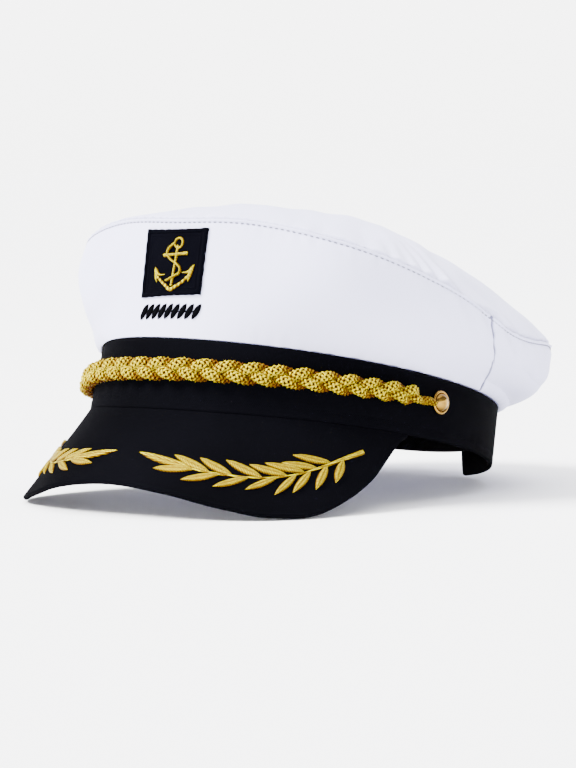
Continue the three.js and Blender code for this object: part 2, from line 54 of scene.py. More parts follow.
def unit(vectors):
    # Each vector over its own length.
    return vectors / np.maximum(np.linalg.norm(vectors, axis=-1, keepdims=True), 1e-12)


def ease(low, high, value):
    # Smooth step from 0 to 1 between two values.
    t = np.clip((value - low) / (high - low), 0, 1)
    return t * t * (3 - 2 * t)


def bump(distance, width):
    # Bell of height 1 and the given half width.
    return np.exp(-((distance / width) ** 2))


def packed(low, high, steps, ends=0.75):
    # Even steps drawn closer together towards both ends.
    t = np.linspace(0, 1, steps)
    return low + (high - low) * (t - ends * np.sin(2 * np.pi * t) / (2 * np.pi))


def roundSteps(sides):
    # Even angles once round, in radians.
    return 2 * np.pi * np.arange(sides) / sides


def fromFront(turn):
    # The same turn between -180 and 180 degrees.
    return (turn + 180) % 360 - 180


def walkedAlong(points):
    # Distance along each line of points: the running sum of the lengths of its steps.
    steps = np.linalg.norm(np.diff(points, axis=-2), axis=-1)
    return np.concatenate([np.zeros_like(steps[..., :1]), np.cumsum(steps, -1)], -1)


def pointsAt(at, walked, points):
    # Points at given distances along a line, read straight between its own points.
    return np.stack([np.interp(at, walked, column) for column in points.T], -1)


def ripple(seed, *axes):
    # Sum of sines of seeded slants and phases over the given axes, each axis with its own wavelength.
    rng = np.random.default_rng(seed)
    total = 0
    for _ in range(7):
        phase = rng.uniform(0, 2 * np.pi)
        for values, wave in axes:
            phase = phase + 2 * np.pi * values / wave * rng.uniform(0.45, 1.35) * rng.choice([-1, 1])
        total = total + np.sin(phase)
    return total / 3.5


def readRows(rows, column, at):
    # Cubic through a column's rows, its slopes weighted from the neighbours and level at both ends.
    x, y = rows[:, 0], rows[:, column]
    step, span = np.diff(y) / np.diff(x), np.diff(x)
    slope = np.zeros(len(x))
    slope[1:-1] = step[:-1] + (step[1:] - step[:-1]) * span[:-1] / (span[:-1] + span[1:])
    at = np.clip(at, x[0], x[-1])
    i = np.clip(np.searchsorted(x, at, side="right") - 1, 0, len(x) - 2)
    u = (at - x[i]) / span[i]
    ends = (1 + 2 * u) * (1 - u) ** 2 * y[i] + u * u * (3 - 2 * u) * y[i + 1]
    return ends + span[i] * u * (1 - u) * ((1 - u) * slope[i] - u * slope[i + 1])


def rolled(distance, radius):
    # How far a face draws in near its edge to round it off: a quarter circle.
    near = np.clip(1 - distance / radius, 0, 1)
    return -radius * (1 - np.sqrt(1 - near ** 2))


def bandNormal(turn):
    # Outward normal of the oval, tipped up by the wall's taper.
    a = np.radians(turn)
    flat = unit(np.stack([np.sin(a) / band["wide"], -np.cos(a) / band["long"], 0 * a], -1))
    flat[..., 2] = band["taper"] / band["height"]
    return unit(flat)


def bandPoint(turn, share, out=0.0):
    # Oval wall that narrows upwards, its lower edge waved round the head, moved out along its normal.
    turn, share, out = np.broadcast_arrays(np.asarray(turn, float), share, out)
    a = np.radians(turn)
    dip = -band["frontDip"] * np.cos(a) - band["sideWave"] * np.cos(2 * a)
    x = (band["wide"] - band["taper"] * share) * np.sin(a)
    y = -(band["long"] - band["taper"] * share) * np.cos(a)
    z = share * band["height"] + dip * (1 - share / 2)
    return np.stack([x, y, z], -1) + bandNormal(turn) * out[..., None]


def gridNormals(points, joined=False):
    # Outward normals of a grid of points from its differences along both directions.
    if joined:
        along = np.roll(points, -1, 0) - np.roll(points, 1, 0)
    else:
        along = np.gradient(points, axis=0)
    return unit(np.cross(along, np.gradient(points, axis=1)))


def tubeCorners(rings, around, joined):
    # Quads of a tube as places (ring, step round). The ends of an open tube are closed by strips.
    i, j = np.meshgrid(np.arange(rings if joined else rings - 1), np.arange(around), indexing="ij")
    sides = np.stack([np.stack(p, -1) for p in ((i, j), (i, j + 1), (i + 1, j + 1), (i + 1, j))], 2)
    sides = sides.reshape(-1, 4, 2)
    if joined:
        return sides
    k = np.arange(around // 2 - 1)
    opening = [k + 1, k, around - 1 - k, around - 2 - k]
    ending = [k, k + 1, around - 2 - k, around - 1 - k]
    first = np.stack([np.stack([0 * k, step], -1) for step in opening], 1)
    last = np.stack([np.stack([0 * k + rings - 1, step], -1) for step in ending], 1)
    return np.concatenate([sides, first, last])


def addTubes(name, rings, finish, replaces=(), joined=False, weave=None, tone=None):
    # One mesh from a batch of tubes, an array of (tube, ring, step round, xyz) in metres. weave is its map
    # in millimetres with one more step round, and tone a number for each point. Faces that enclose a
    # volume below zero point inwards, and are turned round.
    count, long, around = rings.shape[:3]
    corners = tubeCorners(long, around, joined)
    tubes = np.arange(count)[:, None, None]
    faces = tubes * long * around + (corners[..., 0] % long) * around + corners[..., 1] % around
    places = tubes * (long + joined) * (around + 1) + corners[..., 0] * (around + 1) + corners[..., 1]
    faces, places = faces.reshape(-1, 4), places.reshape(-1, 4)
    points = rings.reshape(-1, 3)
    a, b, c, d = (points[faces[:, i]] for i in range(4))
    volume = np.einsum("ij,ij->", a, np.cross(b, c)) + np.einsum("ij,ij->", a, np.cross(c, d))
    if volume < 0:
        faces, places = faces[:, ::-1], places[:, ::-1]
    mesh = bpy.data.meshes.new(name)
    mesh.from_pydata(points, [], faces)
    mesh.polygons.foreach_set("use_smooth", np.ones(len(faces), bool))
    if weave is not None:
        layer = mesh.uv_layers.new(name="weave")
        layer.data.foreach_set("uv", weave.reshape(-1, 2)[places.ravel()].astype(np.float32).ravel())
    tone = np.ones(len(points)) if tone is None else tone
    layer = mesh.attributes.new("tone", "FLOAT", "POINT")
    layer.data.foreach_set("value", tone.astype(np.float32).ravel())
    mesh.update()
    mesh.materials.append(finish)
    piece = bpy.data.objects.new(name, mesh)
    bpy.context.scene.collection.objects.link(piece)
    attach(piece, "root")
    if replaces:
        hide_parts(*replaces)
    print(f"{name}: {len(faces) * 2} triangles")


def addWall(name, outer, inner, mapped, finish, replaces, joined=False, tone=None):
    # Wall between an outer and an inner grid: each ring runs up the outer face and down the inner one.
    rings = np.concatenate([outer, inner[:, ::-1]], 1)
    turned = np.concatenate([mapped, mapped[:, ::-1], mapped[:, :1]], 1)
    tone = None if tone is None else np.concatenate([tone, tone[:, ::-1]], 1)
    addTubes(name, toRow(rings)[None], finish, replaces, joined, turned[None], tone)


# Finishes.
def newFinish(name, **sockets):
    # A material with one shader, whose sockets are set by name.
    material = bpy.data.materials.new(name)
    material.use_nodes = True
    shader = material.node_tree.nodes["Principled BSDF"]
    for socket, value in sockets.items():
        shader.inputs[socket.replace("_", " ")].default_value = value
    return material, material.node_tree, shader


def addNode(tree, kind, inputs=None, **settings):
    # A node whose inputs are plain values or the sockets of other nodes.
    node = tree.nodes.new(kind)
    for key, value in settings.items():
        setattr(node, key, value)
    for key, value in (inputs or {}).items():
        if isinstance(value, bpy.types.NodeSocket):
            tree.links.new(value, node.inputs[key])
        else:
            node.inputs[key].default_value = value
    return node


def maths(tree, operation, first, second=0.0):
    # One step of arithmetic.
    return addNode(tree, "ShaderNodeMath", {0: first, 1: second}, operation=operation).outputs[0]


def plusShare(tree, first, second, share):
    # The first value plus a share of the second.
    return maths(tree, "ADD", first, maths(tree, "MULTIPLY", second, share))


def wavesOf(tree, value, length):
    # Sine of a value with the given wavelength, from -1 to 1.
    return maths(tree, "SINE", maths(tree, "MULTIPLY", value, 2 * math.pi / length))


def noiseOf(tree, place, scale, detail):
    # Cloudy noise from 0 to 1.
    inputs = {"Vector": place, "Scale": scale, "Detail": detail}
    return addNode(tree, "ShaderNodeTexNoise", inputs).outputs["Fac"]


def rampOf(tree, value, stops):
    # Colour read between stops of (place, colour).
    ramp = addNode(tree, "ShaderNodeValToRGB", {0: value})
    elements = ramp.color_ramp.elements
    elements[0].position, elements[0].color = stops[0][0], (*stops[0][1], 1)
    elements[1].position, elements[1].color = stops[-1][0], (*stops[-1][1], 1)
    for place, colour in stops[1:-1]:
        elements.new(place).color = (*colour, 1)
    return ramp.outputs["Color"]


def weaveOf(tree):
    # The piece's own map in millimetres, and its two directions.
    mapped = addNode(tree, "ShaderNodeUVMap", uv_map="weave").outputs[0]
    split = addNode(tree, "ShaderNodeSeparateXYZ", {0: mapped})
    return mapped, split.outputs["X"], split.outputs["Y"]


def placeOf(tree):
    # Where the surface is, in metres.
    return addNode(tree, "ShaderNodeTexCoord").outputs["Object"]


def toneOf(tree):
    # The number that each piece keeps at its points.
    return addNode(tree, "ShaderNodeAttribute", attribute_name="tone").outputs["Fac"]


def paint(tree, shader, colour, height, strength, depth):
    # A colour, and a relief of the given height, on the shader.
    inputs = {"Height": height, "Strength": strength, "Distance": depth}
    normal = addNode(tree, "ShaderNodeBump", inputs)
    tree.links.new(colour, shader.inputs["Base Color"])
    tree.links.new(normal.outputs[0], shader.inputs["Normal"])


twill = dict(uneven=0.8, ribPitch=1.414, crossPitch=0.9, ribs=0.7, cross=0.3, weaveTone=0.1, fluffTone=0.5,
             slowTone=0.5, paintedShadeTone=0.6, fluffHeight=1.2, strength=0.6)


def clothFinish(name, seam, dark, light, pitch, depth, patch, **sockets):
    # Twill: diagonal ribs with a finer cross thread, both a little uneven, over slow changes of tone. Where
    # the tone attribute falls below 1, in seams and creases, painted shade pulls the colour to the seam
    # colour.
    material, tree, shader = newFinish(name, **sockets)
    mapped, x, y = weaveOf(tree)
    along = plusShare(tree, x, noiseOf(tree, mapped, 0.6, 2.0), pitch * twill["uneven"])
    ribs = wavesOf(tree, maths(tree, "ADD", along, y), pitch * twill["ribPitch"])
    cross = wavesOf(tree, maths(tree, "SUBTRACT", along, y), pitch * twill["crossPitch"])
    weave = plusShare(tree, maths(tree, "MULTIPLY", ribs, twill["ribs"]), cross, twill["cross"])
    fluff = noiseOf(tree, mapped, 2.4, 3.0)
    slow = noiseOf(tree, placeOf(tree), patch, 4.0)
    # Painted shade: below 1 the tone attribute darkens the cloth in seams, stitch rows and creases.
    paintedShade = maths(tree, "SUBTRACT", toneOf(tree), 1.0)
    tone = maths(tree, "MULTIPLY", weave, twill["weaveTone"])
    tone = plusShare(tree, tone, fluff, twill["fluffTone"])
    tone = plusShare(tree, tone, slow, twill["slowTone"])
    tone = plusShare(tree, tone, paintedShade, twill["paintedShadeTone"])
    colour = rampOf(tree, tone, [(0.0, seam), (0.3, dark), (0.7, light)])
    height = plusShare(tree, weave, fluff, twill["fluffHeight"])
    paint(tree, shader, colour, height, twill["strength"], depth)
    return material


thread = dict(plyTone=0.08, speckleTone=0.8, strength=0.7)


def threadFinish(name, stops, ply, depth, **sockets):
    # Twisted thread: fine slanted plies, random speckle, and a colour that follows the tone attribute:
    # painted shade where the thread lies deep, painted highlight where it lies high.
    material, tree, shader = newFinish(name, **sockets)
    mapped, x, y = weaveOf(tree)
    plies = wavesOf(tree, maths(tree, "ADD", x, y), ply)
    # Random speckle in the thread's colour.
    speckle = maths(tree, "SUBTRACT", noiseOf(tree, mapped, 1.6, 2.0), 0.5)
    shade = plusShare(tree, toneOf(tree), plies, thread["plyTone"])
    shade = plusShare(tree, shade, speckle, thread["speckleTone"])
    paint(tree, shader, rampOf(tree, shade, stops), plies, thread["strength"], depth)
    return material


def metalFinish(name, dark, light, **sockets):
    # Polished plate with faint clouding in its colour and in its roughness, from 0.08 to 0.18.
    material, tree, shader = newFinish(name, **sockets)
    cloud = noiseOf(tree, placeOf(tree), 420.0, 3.0)
    rough = addNode(tree, "ShaderNodeMapRange", {0: cloud, 3: 0.08, 4: 0.18}).outputs[0]
    colour = rampOf(tree, cloud, [(0.35, dark), (0.65, light)])
    tree.links.new(colour, shader.inputs["Base Color"])
    tree.links.new(rough, shader.inputs["Roughness"])
    return material


# Pitch and ply are in millimetres, the depth of the relief is in metres.
# The seam colour is the painted shade of seams and creases; dark and light are the cloth's own colours.
whiteCloth = clothFinish(
    "whiteCloth", seam=(0.12, 0.12, 0.23), dark=(0.57, 0.57, 0.79), light=(0.67, 0.67, 0.90), pitch=0.55,
    depth=0.00002, patch=9.0, Roughness=0.9, Sheen_Weight=0.1, Sheen_Roughness=0.5, Specular_IOR_Level=0.1)
blackCloth = clothFinish(
    "blackCloth", seam=(0.0, 0.0, 0.0001), dark=(0.0003, 0.0003, 0.0005), light=(0.0016, 0.0016, 0.0026),
    pitch=0.7, depth=0.00005, patch=14.0, Roughness=0.9, Specular_IOR_Level=0.008)
webbing = clothFinish(
    "webbing", seam=(0.0001, 0.0001, 0.0002), dark=(0.0005, 0.0005, 0.0008), light=(0.003, 0.003, 0.004),
    pitch=1.3, depth=0.00012, patch=20.0, Roughness=0.75, Specular_IOR_Level=0.04)
navyCloth = clothFinish(
    "navyCloth", seam=(0.0001, 0.0001, 0.0006), dark=(0.0002, 0.0002, 0.0007), light=(0.0006, 0.0006, 0.002),
    pitch=0.6, depth=0.00006, patch=30.0, Roughness=0.8, Specular_IOR_Level=0.012)
# Gold stops run from painted shade, nearly black, where a thread lies deep to painted highlight where it
# lies high.
cordStops = [(0.0, (0.004, 0.0004, 0.0)), (0.3, (0.044, 0.006, 0.0)), (0.58, (0.10, 0.036, 0.0)),
             (0.85, (0.17, 0.112, 0.0)), (1.0, (0.45, 0.36, 0.0))]
satinStops = [(0.0, (0.004, 0.0006, 0.0)), (0.2, (0.04, 0.009, 0.0)), (0.45, (0.14, 0.068, 0.0)),
              (0.75, (0.25, 0.205, 0.0)), (1.0, (0.8, 0.72, 0.012))]
blackStops = [(0.0, (0.0002, 0.0002, 0.0003)), (1.0, (0.0014, 0.0014, 0.0022))]
# The white thread's stops are dark grey-lavender: painted shade of the stitches sunk in their groove.
whiteStitchShadeStops = [(0.0, (0.03, 0.03, 0.05)), (1.0, (0.17, 0.17, 0.25))]
goldCord = threadFinish("goldCord", cordStops, ply=0.55, depth=0.00008, Roughness=0.42, Metallic=0.3,
                        Specular_IOR_Level=0.03)
goldSatin = threadFinish("goldSatin", satinStops, ply=0.45, depth=0.00004, Roughness=0.42, Metallic=0.3,
                         Specular_IOR_Level=0.03)
blackThread = threadFinish("blackThread", blackStops, ply=0.5, depth=0.00004, Roughness=0.8,
                           Specular_IOR_Level=0.01)
whiteThread = threadFinish("whiteThread", whiteStitchShadeStops, ply=0.5, depth=0.00003, Roughness=0.6,
                           Specular_IOR_Level=0.3)
goldPlate = metalFinish("goldPlate", dark=(0.17, 0.09, 0.014), light=(0.26, 0.155, 0.028), Metallic=1.0)
print("finishes done")

# Crown: a wall and a domed top, each with its seams drawn in and its cloth softly puckered.
crown = dict(rise=53.5, flare=20.0, belly=17.0, sag=18.0, domeRise=48.0, fullness=2.15, middle=4.0,
             radius=100.0, seamTurn=88.0, seamSlant=15.0, foldDepth=1.3, stitchBelow=2.3, groove=0.35,
             lip=0.25, puckers=0.36, sidePuckers=0.35, footPuckers=0.25, slack=0.8, backFolds=0.5,
             hang=2.2, hangDrop=3.2, hangTurn=-60, slim=3.6, slimLift=3.5, slimTurn=128)
crownRows = np.array([  # turn, flare, rise, belly, sag
    (0, 0.1, 1, 0, 0), (25, 0.3, 1, 0.15, 0.03), (50, 0.79, 0.88, 0.8, 0.28), (75, 0.9, 0.695, 0.6, 0.25),
    (98, 0.92, 0.5, 0.6, 0.4), (125, 0.98, 0.6, 1, 1), (150, 0.93, 0.62, 0.8, 0.85),
    (180, 0.88, 0.58, 0.75, 0.8),
])
crownTop = dict(folds=23, foldsAll=0.4, foldsLeft=3.0, foldTurn=85, foldSpread=55.0, foldRun=8,
                teeth=120, teethDepth=0.3, teethRun=3.5, slack=0.5, waves=0.4)
badge = dict(turn=1.1, width=33.0, height=30.5, lift=14.5, thick=1.0, border=2.0, dent=0.5, ridge=0.75,
             edge=0.45, field=0.62, line=3.1, lineHeight=0.18, fray=0.14)


def crownPoint(turn, travel):
    # A curve of second degree from the band's rim out and up to the top seam, then a fuller-than-round
    # dome in to the middle. Travel is 0 on the band, 1 on the seam and 2 in the middle.
    turn, travel = np.broadcast_arrays(np.asarray(turn, float), np.asarray(travel, float))
    at = np.abs(fromFront(turn))
    flare = crown["flare"] * readRows(crownRows, 1, at)
    rise = crown["rise"] * readRows(crownRows, 2, at)
    u = np.minimum(travel, 1)
    bellyOut = flare / 2 + crown["belly"] * readRows(crownRows, 3, at)
    bellyUp = rise / 2 - crown["sag"] * readRows(crownRows, 4, at)
    flat = bandNormal(turn)
    flat[..., 2] = 0
    point = bandPoint(turn, 1.0) + unit(flat) * (2 * u * (1 - u) * bellyOut + u * u * flare)[..., None]
    point[..., 2] += band["gap"] + 2 * u * (1 - u) * bellyUp + u * u * rise
    ring = np.clip(2 - travel, 0, 1)
    middle = np.array([0, crown["middle"], band["height"] + crown["rise"] / 2 + crown["domeRise"]])
    top = middle + (point - middle) * ring[..., None]
    top[..., 2] = middle[2] + (point[..., 2] - middle[2]) * ring ** crown["fullness"]
    return np.where(travel[..., None] > 1, top, point)


def makeCrownWall(name, columns, rows, atBack, seed):
    # The crown's curve between band, top seam and side seams, moved along its normals: folded in at the
    # seams, rippled near them, broadly slack elsewhere and calm behind the badge. The cloth hangs over
    # the band at the wearer's right and is drawn in at the left of the back.
    travel = packed(0, 1, rows)[None, :]
    along = packed(0, 1, columns)[:, None]
    seam = crown["seamTurn"] + crown["seamSlant"] * (1 - travel)
    if atBack:
        turn = seam + (360 - 2 * seam) * along
        sideGap = np.minimum(turn - seam, 360 - seam - turn)
    else:
        turn = seam * (2 * along - 1)
        sideGap = seam - np.abs(turn)
    turn, travel = np.broadcast_arrays(turn, travel)
    base = crownPoint(turn, travel)
    normals = gridNormals(base)
    girth = np.radians(turn) * crown["radius"]
    tall = walkedAlong(base)
    toTop = tall[:, -1:] - tall
    toSide = np.radians(sideGap) * crown["radius"]
    toStitch = toTop - crown["stitchBelow"]
    signed = fromFront(turn)
    calm = ease(15, 30, np.abs(turn - badge["turn"]))
    rear = ease(60, 85, np.abs(signed))
    out = -crown["foldDepth"] * (bump(toTop, 0.6) + bump(toSide, 0.55))
    out -= crown["groove"] * bump(toStitch, 0.5)
    out += crown["lip"] * bump(toTop - 1.2, 0.7)
    soft = crown["puckers"] * ripple(seed, (girth, 5.5), (toTop, 40)) * bump(toTop - 2.5, 4.5)
    soft += crown["sidePuckers"] * ripple(seed + 1, (tall, 7.0), (girth, 60)) * bump(toSide, 5.0)
    soft += crown["footPuckers"] * ripple(seed + 2, (girth, 9.0), (tall, 50)) * bump(tall, 6.0) * calm
    soft += (crown["slack"] * ripple(seed + 3, (girth, 58), (tall, 46))
             * np.sin(np.pi * travel) ** 0.7 * calm)
    soft += (crown["backFolds"] * ripple(seed + 4, (girth + tall, 17), (tall, 90))
             * rear * bump(toTop - 8, 16))
    out += soft * (1 - bump(toStitch, 1.0))
    hang = bump(signed - crown["hangTurn"], 26)
    out += crown["hang"] * hang * bump(tall - 3, 5)
    slim = bump(signed - crown["slimTurn"], 36) * bump(tall - 15, 14) * ease(0, 8, tall)
    out -= crown["slim"] * slim
    outer = base + normals * out[..., None]
    outer[..., 2] += crown["slimLift"] * slim - crown["hangDrop"] * hang * bump(tall, 5)
    inner = base - normals * band["wall"]
    inner[..., 2] += 2.5 * slim
    # Painted shade: the tone falls along the top seam, the side seams and the stitch row, darkening the
    # cloth there.
    tone = 1 - 0.65 * bump(toTop, 1.0) - 0.9 * bump(toSide, 0.9) - 0.3 * bump(toStitch, 0.6)
    mapped = np.stack([girth, tall], -1)
    addWall(name + "_cloth", outer, inner, mapped, whiteCloth, [name],
            tone=np.clip(tone, 0, 1))


def makeCrownTop(columns, rows):
    # The crown's curve from the top seam to the middle, moved along its normals by folds that run in from
    # the seam, deepest at the wearer's left, by fine teeth at the seam and by two broad ripples.
    turn = np.linspace(0, 360, columns, endpoint=False)[:, None]
    ring = 1 - packed(0, 1, rows, 0.6)[None, :] * 0.998
    turn, travel = np.broadcast_arrays(turn, 2 - ring)
    base = crownPoint(turn, travel)
    normals = gridNormals(base, joined=True)
    normals[:, -1] = (0, 0, 1)
    inward = walkedAlong(base)
    a = np.radians(turn)
    x, y = base[..., 0], base[..., 1]
    left = bump(fromFront(turn - crownTop["foldTurn"]), crownTop["foldSpread"])
    folds = np.abs(np.sin(a * crownTop["folds"] + 2.2 * np.sin(a * 5 + 1) + 1.2 * np.sin(a * 11))) ** 1.5
    pull = 0.7 + 0.35 * np.sin(a * 4 - 4.2) + 0.25 * np.sin(a * 9 + 1)
    run = crownTop["foldRun"] + 9 * pull
    teeth = np.sin(a * crownTop["teeth"] + 2 * np.sin(a * 13))
    out = -crown["foldDepth"] * bump(inward, 0.6)
    out += ((crownTop["foldsAll"] + crownTop["foldsLeft"] * left) * pull * (folds - 0.5)
            * np.exp(-inward / run) * ease(0, 2, inward))
    out += crownTop["teethDepth"] * teeth * np.exp(-inward / crownTop["teethRun"]) * ease(0, 1, inward)
    out += crownTop["slack"] * ripple(31, (x, 62), (y, 74)) * ease(0, 30, inward)
    out += crownTop["waves"] * ripple(37, (x, 24), (y, 31)) * ease(0, 25, inward)
    outer = base + normals * out[..., None]
    inner = base - normals * band["wall"]
    mapped = np.stack([x, y], -1)
    mapped = np.concatenate([mapped, mapped[:1]], 0)
    # Painted shade: the tone falls along the seam and in the fold valleys, most over the wearer's left.
    creaseShade = (0.1 + 0.5 * left) * pull * bump(folds, 0.13) * np.exp(-inward / 12)
    tone = np.clip(1 - 0.65 * bump(inward, 0.9) - creaseShade, 0, 1)
    addWall("crown_top_panel_cloth", outer, inner, mapped, whiteCloth, ["crown_top_panel"],
            joined=True, tone=tone)


makeCrownTop(400, 56)
print("crown top done")
makeCrownWall("crown_front_panel", 290, 60, False, 11)
makeCrownWall("crown_back_panel", 240, 56, True, 23)
print("crown walls done")

# Stitches: short capsules along a line that dip into the cloth at both ends.
stitchRows = np.array([  # place along the stitch, share of the radius, height over the cloth
    (0, 0.15, -0.6), (0.12, 0.75, 0.1), (0.5, 1, 0.55), (0.88, 0.75, 0.1), (1, 0.15, -0.6),
])
topstitch = dict(length=1.7, gap=1.0, radius=0.3, sunk=0.2)


def addStitches(name, line, outward, length, gap, radius, finish):
    # Each stitch is a round tube whose radius and height follow the rows. line and outward are points and
    # normals in millimetres.
    walked = walkedAlong(line)
    starts = np.arange(gap, walked[-1] - length, length + gap)
    places = starts[:, None] + length * stitchRows[:, 0]
    middle = pointsAt(places, walked, line)
    up = unit(pointsAt(places, walked, outward))
    side = unit(np.cross(unit(np.gradient(middle, axis=1)), up))
    middle = middle + up * (stitchRows[:, 2] * radius)[:, None]
    spin = roundSteps(6)
    swell = (stitchRows[:, 1] * radius)[:, None, None]
    ring = np.cos(spin)[:, None] * side[:, :, None] + np.sin(spin)[:, None] * up[:, :, None]
    rings = middle[:, :, None] + ring * swell
    weave = np.stack(np.broadcast_arrays(places[..., None], radius * np.append(spin, 2 * np.pi)), -1)
    tone = np.full(rings.shape[:3], 0.7)
    addTubes(name, toRow(rings), finish, weave=weave, tone=tone)


def addSeamStitches():
    # Topstitching on the wall, at an even distance below the crown's top seam, in the groove it draws.
    turn = np.linspace(-179.8, 179.8, 1500)
    step, swing = 0.002, 0.05
    rise = np.linalg.norm(crownPoint(turn, 1.0) - crownPoint(turn, 1 - step), axis=-1) / step
    below = crown["stitchBelow"] / rise
    point = crownPoint(turn, 1 - below)
    up = crownPoint(turn, 1 - below + step) - crownPoint(turn, 1 - below - step)
    around = crownPoint(turn + swing, 1 - below) - crownPoint(turn - swing, 1 - below)
    normal = unit(np.cross(around, up))
    addStitches("crown_topstitch", point - normal * topstitch["sunk"], normal, topstitch["length"],
                topstitch["gap"], topstitch["radius"], whiteThread)


addSeamStitches()

# Headband: a cloth wall with rolled edges and the adjuster's notch cut out of its lower edge at the back.
headband = dict(notchWidth=44.0, notchHeight=20.0, chamfer=5.0, radius=95, footRoll=0.9, rimRoll=0.6,
                slack=0.22, puckers=0.09, stitchUp=4.6, groove=0.22, stitchTurn=163, stitchLength=2.2,
                stitchGap=1.1, stitchRadius=0.15)


def makeHeadband(columns, rows):
    # The band's oval wall from its rim down to a foot that steps up round the notch. The cloth is rolled
    # at both edges, slightly slack between them and drawn in along the stitch row.
    turn = np.linspace(-180, 180, columns, endpoint=False)[:, None]
    share = packed(0, 1, rows, 0.9)[None, :]
    fromBack = (180 - np.abs(turn)) * np.radians(1) * band["wide"] ** 2 / band["long"]
    half = headband["notchWidth"] / 2
    opening = 1 - ease(half - 1.5, half + headband["chamfer"], fromBack)
    foot = headband["notchHeight"] / band["height"] * opening
    share = foot + (1 - foot) * share
    low, high = (share - foot) * band["height"], (1 - share) * band["height"]
    toStitch = low - headband["stitchUp"]
    girth = np.radians(turn) * headband["radius"]
    edge = rolled(low, headband["footRoll"]) + rolled(high, headband["rimRoll"])
    slack = headband["slack"] * ripple(41, (girth, 70), (low, 60))
    out = edge + slack * ease(0, 4, low) * ease(0, 4, high)
    out -= headband["groove"] * bump(toStitch, 0.7)
    out += headband["puckers"] * ripple(43, (girth, 5.0), (low, 30)) * bump(toStitch, 3.0)
    outer = bandPoint(turn, share, out)
    inner = bandPoint(turn, share, -band["wall"] - edge)
    mapped = np.stack(np.broadcast_arrays(girth, low), -1)
    mapped = np.concatenate([mapped, mapped[:1] + (2 * np.pi * headband["radius"], 0)], 0)
    addWall("headband_cloth", outer, inner, mapped, blackCloth, ["headband"], joined=True)
    turn = np.linspace(-headband["stitchTurn"], headband["stitchTurn"], 1200)
    line = bandPoint(turn, headband["stitchUp"] / band["height"], -headband["groove"])
    addStitches("headband_stitch", line, bandNormal(turn), headband["stitchLength"], headband["stitchGap"],
                headband["stitchRadius"], blackThread)


makeHeadband(540, 36)

# Adjuster strap: webbing inside the band across the notch, with a blunt point at one end.
strap = dict(length=116.0, width=14.0, wall=1.6, lift=12.0, roll=0.7, point=0.3)


def makeStrap(columns, rows):
    # A band of even width along the inside of the oval, pinched in to its point, with rolled edges.
    perTurn = np.radians(1) * band["wide"] ** 2 / band["long"]
    end, tip = strap["length"] / 2, strap["length"] / 2 + strap["width"] / 2
    run = np.linspace(-end, tip, columns)[:, None]
    pinch = strap["point"] * ease(end - 0.5, tip, run)
    across = packed(0, 1, rows, 0.8)[None, :]
    at = pinch + (1 - 2 * pinch) * across
    edge = (rolled(across * strap["width"], strap["roll"])
            + rolled((1 - across) * strap["width"], strap["roll"]))
    share = (strap["lift"] + strap["width"] * at) / band["height"]
    turn = 180 + run / perTurn
    deep = band["wall"] + band["gap"]
    outer = bandPoint(turn, share, -deep + edge)
    inner = bandPoint(turn, share, -deep - strap["wall"] - edge)
    mapped = np.stack(np.broadcast_arrays(run, at * strap["width"]), -1)
    addWall("strap_webbing", outer, inner, mapped, webbing, ["adjuster_strap"])


makeStrap(120, 14)
print("band done")

# Peak: a stiff sheet in black cloth that runs from the band's lower edge down to its rounded outer edge.
peak = dict(turn=76.0, reach=27.9, drop=45.8, thick=2.6, spread=0.37, slack=0.15, radius=108)
peakRows = np.array([  # share of the half turn, reach, drop
    (0, 0.715, 0.79), (0.255, 0.81, 0.855), (0.46, 0.9, 0.957), (0.64, 1, 1), (0.795, 0.927, 0.886),
    (0.91, 0.54, 0.535), (1, 0.04, 0.03),
])


def peakPoint(turn, share):
    # Straight lines fan out and down from the band's lower edge to the peak's outline.
    turn, share = np.broadcast_arrays(np.asarray(turn, float), np.asarray(share, float))
    at = np.abs(turn) / peak["turn"]
    root = bandPoint(turn, 0.0)
    root[..., 2] -= band["gap"]
    angle = np.radians(turn * peak["spread"])
    reach = peak["reach"] * readRows(peakRows, 1, at)
    drop = peak["drop"] * readRows(peakRows, 2, at)
    edge = np.stack([reach * np.sin(angle), -reach * np.cos(angle), -drop], -1)
    return root + edge * share[..., None]


def peakDepth(turn):
    # Length of the straight line at a turn, from the band to the outline.
    return np.linalg.norm(peakPoint(turn, 1.0) - peakPoint(turn, 0.0), axis=-1)


def peakNormal(turn, share):
    # Across both the line down the peak and the difference between its neighbours.
    nudge = 0.01
    turn, share = np.broadcast_arrays(np.asarray(turn, float), np.asarray(share, float))
    turn = np.clip(turn, nudge - peak["turn"], peak["turn"] - nudge)
    around = peakPoint(turn + nudge, share) - peakPoint(turn - nudge, share)
    down = peakPoint(turn, 1.0) - peakPoint(turn, 0.0)
    return unit(np.cross(down, around))


def makePeak(columns, rows):
    # The fan of lines, rolled at its outline, and a lower face one thickness in. Next to the band the
    # lower face goes straight in below it.
    turn = packed(-peak["turn"], peak["turn"], columns, 0.5)[:, None]
    share = packed(0, 1, rows, 0.85)[None, :]
    turn, share = np.broadcast_arrays(turn, share)
    face = peakPoint(turn, share)
    normals = peakNormal(turn, share)
    deep = peakDepth(turn)
    fromEdge = deep * (1 - share)
    roll = rolled(fromEdge, peak["thick"] / 2)
    soft = peak["slack"] * ripple(51, (turn, 40), (share, 0.9)) * ease(0, 6, fromEdge)
    upper = face + normals * (roll + soft)[..., None]
    upper[:, 0, 2] += band["gap"]
    under = face + normals * (-peak["thick"] - roll)[..., None]
    inward = bandNormal(turn)
    inward[..., 2] = 0
    blend = ease(0, 0.12, share)[..., None]
    under = under * blend + (face - inward * peak["thick"]) * (1 - blend)
    mapped = np.stack([np.radians(turn) * peak["radius"], deep * share], -1)
    addWall("peak_cloth", upper, under, mapped, blackCloth, ["peak"])


makePeak(280, 56)
print("peak done")
